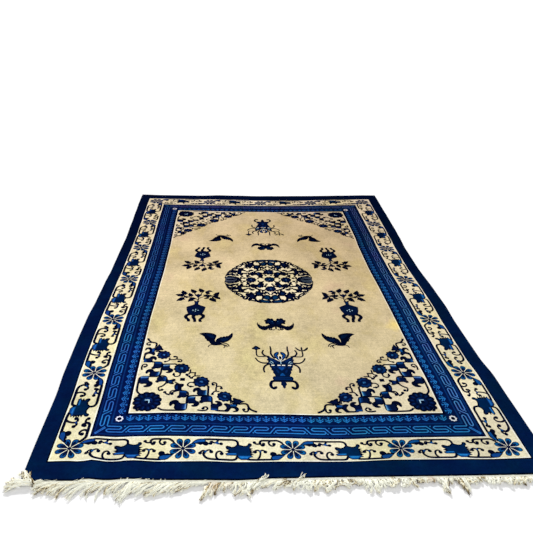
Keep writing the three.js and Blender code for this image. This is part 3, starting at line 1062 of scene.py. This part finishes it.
class Finish:
    # one material and the nodes that make it
    def __init__(self, name):
        self.material = bpy.data.materials.new(name)
        self.material.use_nodes = True
        self.tree = self.material.node_tree
        self.tree.nodes.clear()

    def node(self, kind, settings=None, sockets=None, out=0):
        made = self.tree.nodes.new(kind)
        for name, value in (settings or {}).items():
            setattr(made, name, value)
        for key, value in (sockets or {}).items():
            if isinstance(value, Link):
                self.tree.links.new(value.socket, made.inputs[key])
            else:
                made.inputs[key].default_value = value
        return Link(self, made.outputs[out]) if made.outputs else made

    def ramp(self, share, stops):
        made = self.node("ShaderNodeValToRGB", None, {0: share})
        elements = made.socket.node.color_ramp.elements
        while len(elements) < len(stops):
            elements.new(1)
        for element, (place, colour) in zip(elements, stops):
            element.position = place
            element.color = (*colour, 1)
        return made

    def noise(self, place, factors, scale, detail, roughness):
        return self.node("ShaderNodeTexNoise", None,
                         {"Vector": self.scaled(place, factors), "Scale": scale, "Detail": detail,
                          "Roughness": roughness})

    def scaled(self, where, factors):
        return self.node("ShaderNodeVectorMath", {"operation": "MULTIPLY"}, {0: where, 1: factors})

    def blend(self, share, first, second, way="MIX"):
        second = second if isinstance(second, Link) else (*second, 1)
        return self.node("ShaderNodeMix", {"data_type": "RGBA", "blend_type": way},
                         {0: share, 6: first, 7: second}, 2)

    def tint(self, colour, factor):
        return self.blend(1.0, colour, factor, "MULTIPLY")

    def axis(self, place, number):
        return self.node("ShaderNodeSeparateXYZ", None, {0: place}, number)

    def distance(self, place, spot):
        return self.node("ShaderNodeVectorMath", {"operation": "DISTANCE"}, {0: place, 1: spot}, 1)

    def range(self, value, low, high, start, end):
        return self.node("ShaderNodeMapRange", None, {0: value, 1: low, 2: high, 3: start, 4: end})

    def shine(self, sockets):
        surface = self.node("ShaderNodeBsdfPrincipled", None, sockets)
        self.node("ShaderNodeOutputMaterial", None, {"Surface": surface})
        return self.material


# Noises: how they are squeezed along x, y and z, their scale, detail and roughness. Ramps: places
# and colour factors. Spans: where a change starts and ends, in metres from the rug's middle.
wool = {
    "noises": {
        "knots": ((1.0, 0.7, 0.6), 70, 5.0, 0.85),
        "streaks": ((6.0, 95.0, 1.0), 1.0, 3.0, 0.6),
        "patches": ((1.0, 0.75, 1.0), 5.0, 5.0, 0.62),
        "specks": ((1.0, 1.0, 1.0), 170, 2.0, 0.7),
        "hues": ((1.0, 0.7, 1.0), 4.2, 5.0, 0.62),
        "shifts": ((1.0, 1.4, 1.0), 8.0, 6.0, 0.72),
    },
    "contrasts": {"knots": 0.52, "streaks": 0.16, "patches": 0.42, "specks": 0.34},
    "lift": 0.87,  # overall lightness of the dyes
    "wear": [(0.30, (1.06, 1.08, 0.90)), (0.42, (0.95, 0.94, 0.84)), (0.50, (1.0, 1.0, 1.0)),
             (0.60, (1.04, 1.04, 1.06)), (0.70, (1.03, 0.96, 1.04))],
    # painted shade: the pile is lighter and bluer at its near end and darker towards its far end, the blues
    # more than the creams
    "farSpan": (-1.3, 1.3),
    "nearToFarShade": [(0.0, (1.02, 1.10, 1.28)), (0.25, (1.08, 1.12, 1.24)), (0.5, (1.05, 1.03, 1.10)),
                  (0.7, (0.96, 0.91, 0.98)), (1.0, (0.86, 0.80, 0.90))],
    "nearToFarBlueShade": [(0.0, (1.0, 1.0, 0.95)), (0.3, (0.9, 0.8, 0.82)), (0.5, (0.85, 0.68, 0.70)),
                       (0.75, (0.8, 0.46, 0.54)), (1.0, (0.8, 0.42, 0.48))],
    "violetToTeal": [(0.34, (1.25, 0.68, 0.86)), (0.46, (1.05, 0.90, 0.97)), (0.54, (1.0, 1.06, 1.0)),
                     (0.68, (0.95, 1.40, 1.08))],
    "tealSpan": (-0.9, 0.5, -0.07, 0.05),
    "rightSpan": (-0.05, 0.35),
    "rightSide": (0.84, 0.82, 0.81),
    "patchPlace": (0.598, -0.282, 0.0),  # its y squeezed by 0.62
    "patchSqueeze": (1.0, 0.62, 1.0),
    "patchSpan": (0.018, 0.05),  # from the patch's middle
    "yellowPatch": (1.30, 1.22, 0.72),
}


def makeWool():
    paint = Finish("knotted_wool")
    place = paint.node("ShaderNodeTexCoord", None, None, 3)
    across = paint.axis(place, 0)
    farShare = paint.range(paint.axis(place, 1), *wool["farSpan"], 0.0, 1.0)
    dye = paint.node("ShaderNodeAttribute", {"attribute_name": "wool"})
    noises = {name: paint.noise(place, *values) for name, values in wool["noises"].items()}
    tone = 1
    for name, contrast in wool["contrasts"].items():
        tone = tone + (noises[name] - 0.5) * (2 * contrast)
    tone = tone * wool["lift"]
    toned = paint.tint(dye, paint.node("ShaderNodeCombineXYZ", None, {0: tone, 1: tone, 2: tone}))
    toned = paint.tint(toned, paint.ramp(noises["hues"], wool["wear"]))
    # painted shade that darkens the pile from the near end to the far end
    farShaded = paint.tint(toned, paint.ramp(farShare, wool["nearToFarShade"]))
    # painted shade: the blues darken towards the far end more than the creams; they also drift between
    # violet and teal
    redness = paint.node("ShaderNodeSeparateColor", None, {0: dye}, 0)
    blueness = paint.range(redness, 0.06, 0.35, 1.0, 0.0)
    shift = noises["shifts"] + paint.range(across, *wool["tealSpan"])
    blues = paint.tint(farShaded, paint.ramp(farShare, wool["nearToFarBlueShade"]))
    blues = paint.tint(blues, paint.ramp(shift, wool["violetToTeal"]))
    colour = paint.blend(blueness, farShaded, blues)
    darker = paint.tint(colour, wool["rightSide"])
    colour = paint.blend(paint.range(across, *wool["rightSpan"], 0.0, 1.0), colour, darker)
    reach = paint.distance(paint.scaled(place, wool["patchSqueeze"]), wool["patchPlace"])
    reach = reach + (noises["hues"] - 0.5) * 0.10
    yellowed = paint.tint(colour, wool["yellowPatch"])
    colour = paint.blend(paint.range(reach, *wool["patchSpan"], 1.0, 0.0), colour, yellowed)
    bump = paint.node("ShaderNodeBump", None,
                      {"Strength": 0.5, "Distance": 0.002, "Height": noises["knots"]})
    return paint.shine({"Base Color": colour, "Roughness": 0.95, "Specular IOR Level": 0.0, "Normal": bump})


# Fringe: where a lock is rooted along the near edge, how far its tip reaches out from the pile,
# how far it is swept sideways, and how strongly it curls
fringeTable = [(-880, 24, -2, 0.2), (-850, 30, -10, 0.1), (-812, 44, -52, 0.05), (-770, 50, -90, 0.05),
    (-725, 54, -108, 0.05), (-680, 56, -104, 0.05), (-640, 58, -86, 0.05), (-600, 66, -72, 0.1),
    (-550, 80, -50, 0.15), (-515, 62, -50, 0.2), (-500, 56, -54, 0.2), (-440, 50, -58, 0.25),
    (-400, 46, -58, 0.25), (-365, 52, -54, 0.1), (-340, 28, -44, 0.1), (-300, 24, -30, 0.2),
    (-290, 66, -20, 0.1), (-272, 62, -24, 0.1), (-255, 36, -28, 0.3), (-205, 36, -30, 0.5),
    (-186, 62, -16, 0.6), (-158, 62, -28, 0.4), (-115, 44, -40, 0.1), (-80, 34, -44, 0.1),
    (-50, 34, -36, 0.4), (-10, 48, -26, 0.6), (34, 46, -16, 0.7), (62, 58, -10, 0.6), (80, 52, -12, 0.9),
    (112, 62, -10, 0.6), (135, 48, -14, 1.0), (175, 46, 4, 1.0), (200, 30, 18, 0.3), (225, 29, -8, 0.3),
    (245, 54, -6, 0.9), (275, 54, 12, 1.0), (312, 36, 10, 0.8), (340, 46, -8, 1.0), (378, 46, 12, 1.0),
    (405, 28, 4, 0.6), (440, 24, 4, 0.6), (484, 30, 10, 0.4), (504, 72, -3, 0.2), (512, 60, -4, 0.3),
    (521, 34, -12, 0.5), (545, 24, 0, 0.6), (569, 66, 4, 0.4), (579, 54, 0, 0.6), (590, 38, 6, 0.8),
    (636, 26, 8, 0.8), (672, 40, 2, 1.0), (710, 40, 2, 1.0), (915, 36, -6, 0.9)]
fringe = {
    "seed": 11,
    "locks": 300,
    "firstRoot": -862,
    "foldEnd": -560,  # locks left of this leave the web almost along it and turn down
    "strays": 60,
    "wear": 0.3,  # share of a lock's length that may be worn off
    "strands": 5, "strandRadius": 1.25, "sides": 4, "steps": 10,
    "bundle": 2.1,  # how far a lock's strands lie from its middle
    "jitter": 0.55,
    "webDepth": 9, "webThickness": 6, "webSteps": 150,
    "gap": 0.3,  # between the pile and the web
}


def nearEdge(x, distance):
    edgeX, edgeY = layDown(x, -halfLength)
    return Vector((edgeX, edgeY - distance, 0))


class Tubes:
    # many thin tubes in one mesh
    def __init__(self):
        self.verts = []
        self.faces = []
        self.tones = []

    def skin(self, rings, tones):
        # joins rings of equal length to one closed form
        first = len(self.verts)
        count = len(rings[0])
        for ring, tone in zip(rings, tones):
            self.verts += ring
            self.tones += [tone] * count
        for k in range(len(rings) - 1):
            for n in range(count):
                a = first + k * count + n
                b = first + k * count + (n + 1) % count
                self.faces.append((a, b, b + count, a + count))
        last = first + (len(rings) - 1) * count
        self.faces.append(tuple(first + n for n in reversed(range(count))))
        self.faces.append(tuple(last + n for n in range(count)))

    def add(self, path, radii, sides, tones):
        rings = []
        turns = [2 * math.pi * n / sides for n in range(sides)]
        for k, point in enumerate(path):
            ahead = path[min(k + 1, len(path) - 1)] - path[max(k - 1, 0)]
            ahead.normalize()
            aside = ahead.cross(Vector((0, 0, 1)))
            aside = aside.normalized() if aside.length > 1e-4 else Vector((1, 0, 0))
            above = aside.cross(ahead)
            rings.append([point + (aside * math.cos(turn) + above * math.sin(turn)) * radii[k]
                          for turn in turns])
        self.skin(rings, tones)

    def build(self, name):
        piece = addMesh(name, self.verts, self.faces)
        tones = piece.data.attributes.new("tone", "FLOAT", "POINT")
        tones.data.foreach_set("value", self.tones)
        for polygon in piece.data.polygons:
            polygon.use_smooth = True
        return piece


def yarnPath(root, heading, length, curve, waves, sway, lift, chance):
    # the way one lock takes over the floor: it leaves its root along a heading, sways and bends
    steps = fringe["steps"]
    phase = chance.uniform(0, 2 * math.pi)
    place = Vector(root)
    path = [place.copy()]
    for k in range(steps):
        t = (k + 0.5) / steps
        turn = heading + curve * t * t + sway * min(1, 2.5 * t) * math.sin(2 * math.pi * waves * t + phase)
        turn = math.radians(turn + chance.gauss(0, 5))
        place = place + Vector((math.cos(turn), math.sin(turn), 0)) * (length / steps)
        t = (k + 1) / steps
        place.z = (1 - t) * root[2] + t * 4.5 + lift * math.sin(math.pi * t ** 0.8)
        path.append(place.copy())
    return path


def addYarn(tubes, path, radius, tone, tipSoilAndShade=0.0, blunt=0.9):
    # one strand, with painted shade where it lies deep under the others, and a darker tip that is partly
    # soil and partly painted shade
    last = len(path) - 1
    radii = [radius * (1 - (1 - blunt) * (k / last) ** 3) for k in range(last + 1)]
    # the tone falls with height: painted shade on strands that lie deep under the others
    tones = [min(1.2, max(0, tone + 0.05 * (point.z - 6.5) - tipSoilAndShade * (k / last) ** 3))
             for k, point in enumerate(path)]
    tubes.add(path, radii, fringe["sides"], tones)


def addLock(tubes, path, strands, tone, chance):
    # a few strands side by side, twisted a little and splayed at the tip
    start = chance.uniform(0, 2 * math.pi)
    twist = chance.uniform(-3.5, 3.5)
    jitter = fringe["jitter"]
    last = len(path) - 1
    for strand in range(strands):
        radius = fringe["strandRadius"] * chance.uniform(0.85, 1.2)
        end = last - chance.choice((0, 0, 0, 1))
        line = []
        for k, point in enumerate(path[:end + 1]):
            share = k / last
            ahead = path[min(k + 1, last)] - path[max(k - 1, 0)]
            aside = Vector((-ahead.y, ahead.x, 0)).normalized()
            turn = start + twist * share + 2 * math.pi * strand / strands
            away = fringe["bundle"] * (0.9 + 0.7 * share * share)
            moved = point + aside * (away * math.cos(turn)) + Vector((0, 0, away * 0.7 * math.sin(turn)))
            moved += Vector((chance.gauss(0, jitter), chance.gauss(0, jitter), chance.gauss(0, jitter)))
            moved.z = max(moved.z, radius + 0.15)
            line.append(moved)
        # one lock in five gets a darker tip: partly soil, partly painted shade in the gaps between the
        # locks
        tipSoiledAndShaded = chance.random() < 0.2
        addYarn(tubes, line, radius, tone + chance.gauss(0, 0.22), 0.35 * tipSoiledAndShaded)


def addRootedLock(tubes, rootX, chance):
    reach, sweep, curl = (readTable(fringeTable, rootX, column) for column in (1, 2, 3))
    edge = nearEdge(rootX, fringe["webDepth"])
    root = (edge.x, edge.y, chance.uniform(2.2, 3.4))
    out = reach - 11
    heading = math.degrees(math.atan2(-out, sweep)) + chance.gauss(0, 4 + 8 * curl)
    length = math.hypot(out, sweep) * (1.06 - fringe["wear"] * chance.random() ** 1.6)
    waves = chance.uniform(0.5, 0.9) + 1.1 * curl
    sway = chance.gauss(0, 8) + chance.choice((-1, 1)) * 72 * curl * chance.uniform(0.5, 1.1)
    curve = chance.gauss(0, 12 + 20 * curl)
    if rootX < fringe["foldEnd"] and sweep < -20:
        heading -= 15
        curve += chance.uniform(30, 62)
        length *= chance.uniform(0.78, 1.06)
    if chance.random() < 0.8 * (curl - 0.42):
        curve = chance.choice((-1, 1)) * chance.uniform(210, 330)
        length *= 1.4
    lift = chance.uniform(1.0, 6.0) + 3 * curl * chance.random()
    path = yarnPath(root, heading, length * (1 + 0.3 * curl), curve, waves, sway, lift, chance)
    tone = chance.choice((0.3, 0.6, 0.8, 0.95, 1.1))
    addLock(tubes, path, fringe["strands"], tone, chance)


# Tufts that lie apart from the row: root, heading in degrees, length, bend, spread, how many locks
tufts = [
    # the first tuft's low tones are painted shade, darkening the strands that rise over the corner towards
    # the window light
    {"root": (-862, -1370, 8), "heading": 127, "length": 60, "bend": -8, "spread": 14, "locks": 10,
     "lift": 7, "tones": (-0.3, -0.1, 0.1, 0.3)},
    {"root": (-868, -1366, 7), "heading": 174, "length": 84, "bend": 0, "spread": 7, "locks": 8, "lift": 7},
    {"root": (-862, -1372, 6), "heading": 180, "length": 86, "bend": 0, "spread": 7, "locks": 7, "lift": 6},
    {"root": (-848, -1368, 10), "heading": 24, "length": 28, "bend": -30, "spread": 4, "locks": 1,
     "lift": 4},
    {"root": (-118, -1381, 8), "heading": 36, "length": 38, "bend": 12, "spread": 12, "locks": 4,
     "strands": 2, "lift": 6},
    {"root": (14, -1384, 8), "heading": 36, "length": 46, "bend": 16, "spread": 12, "locks": 4,
     "strands": 1, "lift": 6},
    {"root": (-290, -1392, 5), "heading": 262, "length": 58, "bend": -6, "spread": 3, "locks": 3,
     "lift": 3},
    {"root": (510, -1384, 4), "heading": 266, "length": 74, "bend": 8, "spread": 3, "locks": 2, "lift": 2},
    {"root": (568, -1384, 4), "heading": 276, "length": 68, "bend": 16, "spread": 3, "locks": 2, "lift": 4}]


def keepOverPile(path):
    # a strand that strays inward lies on top of the pile
    for point in path:
        inside = min(1, max(0, (point.y + halfLength + 4) / 6))
        inside *= min(1, max(0, (halfWidth + 10 - abs(point.x)) / 8))
        point.z = max(point.z, inside * (rug["thickness"] + 2.6))


def makeFringe():
    chance = random.Random(fringe["seed"])
    tubes = Tubes()
    first = fringe["firstRoot"]
    last = halfWidth - 5
    for number in range(fringe["locks"]):
        rootX = first + (last - first) * (number + chance.uniform(-0.4, 0.4)) / (fringe["locks"] - 1)
        addRootedLock(tubes, max(first, min(last, rootX)), chance)
    for tuft in tufts:
        for number in range(tuft["locks"]):
            x, y, z = tuft["root"]
            x += chance.uniform(-1, 1) * tuft["spread"]
            root = (x, y + chance.gauss(0, 2), z + chance.uniform(-2, 2))
            heading = tuft["heading"] + chance.gauss(0, 6)
            length = tuft["length"] * chance.uniform(0.75, 1.06)
            curve = tuft["bend"] + chance.gauss(0, 14)
            lift = tuft["lift"] * chance.uniform(0.6, 1.2)
            path = yarnPath(root, heading, length, curve, 1.2, 16, lift, chance)
            keepOverPile(path)
            addLock(tubes, path, tuft.get("strands", fringe["strands"]),
                    chance.choice(tuft.get("tones", (0.15, 0.4, 0.6, 0.8))), chance)
    for number in range(fringe["strays"]):
        rootX = chance.uniform(first, last)
        edge = nearEdge(rootX, fringe["gap"] + 3)
        reach, sweep = (readTable(fringeTable, rootX, column) for column in (1, 2))
        heading = max(-168, min(-12, math.degrees(math.atan2(-reach, sweep)) + chance.gauss(0, 26)))
        length = reach * chance.uniform(0.5, 1.05)
        curve = chance.gauss(0, 30)
        path = yarnPath((edge.x, edge.y, 8), heading, length, curve, 0.8, 25, chance.uniform(1, 5), chance)
        keepOverPile(path)
        addYarn(tubes, path, 0.7, chance.uniform(0.5, 1.0), 0, 0.5)
    addWeb(tubes)
    return tubes.build("warp_fringe")


def addWeb(tubes):
    # the woven web: a rounded hem between the pile and the fringe
    steps = fringe["webSteps"]
    depth = fringe["webDepth"]
    thick = fringe["webThickness"]
    section = [(0, 0), (depth, 0), (depth + 0.4, 2), (depth * 0.85, thick * 0.6),
               (depth * 0.5, thick * 0.93), (depth * 0.2, thick), (0, thick * 0.9)]
    rings = []
    for k in range(steps + 1):
        x = -halfWidth + 1 + (rug["width"] - 2) * k / steps
        edge = nearEdge(x, fringe["gap"])
        rings.append([edge + Vector((0, -out, height)) for out, height in section])
    tubes.skin(rings, [1.0] * len(rings))


cotton = {
    # ramp from the darkest soil and painted shade between the strands up to clean cotton
    "ramp": ((0.0, (84, 66, 38)), (0.2, (198, 181, 138)), (0.38, (255, 249, 222)), (0.62, (255, 255, 241))),
    "rust": (206, 156, 104),
    # rust stains: x, y, reach, strength
    "rustSpots": [(-536, -1466, 16, 0.8), (-266, -1394, 30, 0.22), (-215, -1394, 22, 0.12),
                  (470, -1388, 20, 0.3), (-700, -1444, 26, 0.2)],
}


def makeCotton():
    paint = Finish("warp_cotton")
    place = paint.node("ShaderNodeTexCoord", None, None, 3)
    tone = paint.node("ShaderNodeAttribute", {"attribute_name": "tone"}, None, 2)
    dirtAndShade = paint.noise(place, (1.0, 1.0, 1.0), 120, 3.0, 0.65)
    fibre = paint.noise(place, (1.0, 1.0, 1.0), 700, 2.0, 0.6)
    # the dirt noise is partly soil and partly painted shade in the cracks between strands; the tone brings
    # in the painted shade of deep strands and soiled tips
    shade = tone + (dirtAndShade - 0.5) * 1.5 + (fibre - 0.5) * 0.3
    stainedAndShaded = paint.ramp(shade, [(share, linear(colour)) for share, colour in cotton["ramp"]])
    for x, y, size, strength in cotton["rustSpots"]:
        reach = paint.distance(paint.scaled(place, (1.0, 1.0, 0.0)), (x * mm, y * mm, 0))
        share = paint.range(reach + (dirtAndShade - 0.5) * 0.03, size * 0.4 * mm, size * mm, strength, 0.0)
        stainedAndShaded = paint.blend(share, stainedAndShaded, linear(cotton["rust"]))
    bump = paint.node("ShaderNodeBump", None, {"Strength": 0.4, "Distance": 0.0008, "Height": fibre})
    return paint.shine({"Base Color": stainedAndShaded, "Roughness": 0.9, "Specular IOR Level": 0.2, "Normal": bump})


# Studio

studio = {
    "eye": (-0.204, -2.611, 1.456), "pitch": 27.44, "roll": 2.0, "yaw": -4.10,
    "focalPixels": 528, "framePixels": 533, "sensor": 36,
    "floorSize": 400, "floorRise": 14,  # its far end rises past the horizon
    "skyStrength": 0.61,
    "lights": (
        {"name": "window_light", "strength": 3.0, "height": 26, "turn": 4, "spread": 5},
        {"name": "room_light", "strength": 0.68, "height": 38, "turn": 176, "spread": 60}),
    "floorColour": (0.93, 0.93, 0.935),
}


def makeCamera():
    pitch, roll, yaw = (math.radians(studio[name]) for name in ("pitch", "roll", "yaw"))
    level = Vector((math.cos(yaw), math.sin(yaw), 0))
    ahead = Vector((-math.sin(yaw), math.cos(yaw), 0))
    forward = ahead * math.cos(pitch) - Vector((0, 0, math.sin(pitch)))
    upward = ahead * math.sin(pitch) + Vector((0, 0, math.cos(pitch)))
    right = level * math.cos(roll) + upward * math.sin(roll)
    top = upward * math.cos(roll) - level * math.sin(roll)
    turn = Matrix((right, top, -forward)).transposed().to_4x4()
    data = bpy.data.cameras.new("view")
    data.sensor_width = studio["sensor"]
    data.lens = studio["focalPixels"] / studio["framePixels"] * studio["sensor"]
    data.clip_end = 500
    camera = addObject("view", data)
    camera.matrix_world = Matrix.Translation(studio["eye"]) @ turn
    bpy.context.scene.camera = camera


def addSun(sun):
    # parallel light that comes from beyond the far end, turned round the vertical
    data = bpy.data.lights.new(sun["name"], "SUN")
    data.energy = sun["strength"]
    data.angle = math.radians(sun["spread"])
    light = addObject(sun["name"], data)
    light.rotation_euler = (math.radians(sun["height"] - 90), 0, math.radians(sun["turn"]))


def makeStudio():
    world = bpy.data.worlds.new("studio")
    world.use_nodes = True
    sky = world.node_tree.nodes["Background"]
    sky.inputs["Color"].default_value = (1, 1, 1, 1)
    sky.inputs["Strength"].default_value = studio["skyStrength"]
    bpy.context.scene.world = world
    for sun in studio["lights"]:
        addSun(sun)
    half = studio["floorSize"] / 2
    far = studio["floorSize"]
    rise = studio["floorRise"]
    corners = [(-half, -half, 0), (half, -half, 0), (half, half, 0), (-half, half, 0),
               (far, far, rise), (-far, far, rise)]
    floor = addMesh("floor", corners, [(0, 1, 2, 3), (3, 2, 4, 5)], 1)
    paint = Finish("pale_floor")
    floor.data.materials.append(paint.shine({"Base Color": (*studio["floorColour"], 1), "Roughness": 0.9,
                                             "Specular IOR Level": 0.1}))


bpy.context.scene.view_settings.view_transform = "Standard"
makeCamera()
makeStudio()
print("camera, light and floor are ready")

pile = makePile()
pile.data.materials.append(makeWool())
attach(pile, "root")
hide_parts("pile")
print("pile is ready:", len(pile.data.polygons), "faces")

warpFringe = makeFringe()
warpFringe.data.materials.append(makeCotton())
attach(warpFringe, "root")
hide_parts("fringe_near")
print("fringe is ready:", len(warpFringe.data.polygons), "faces")
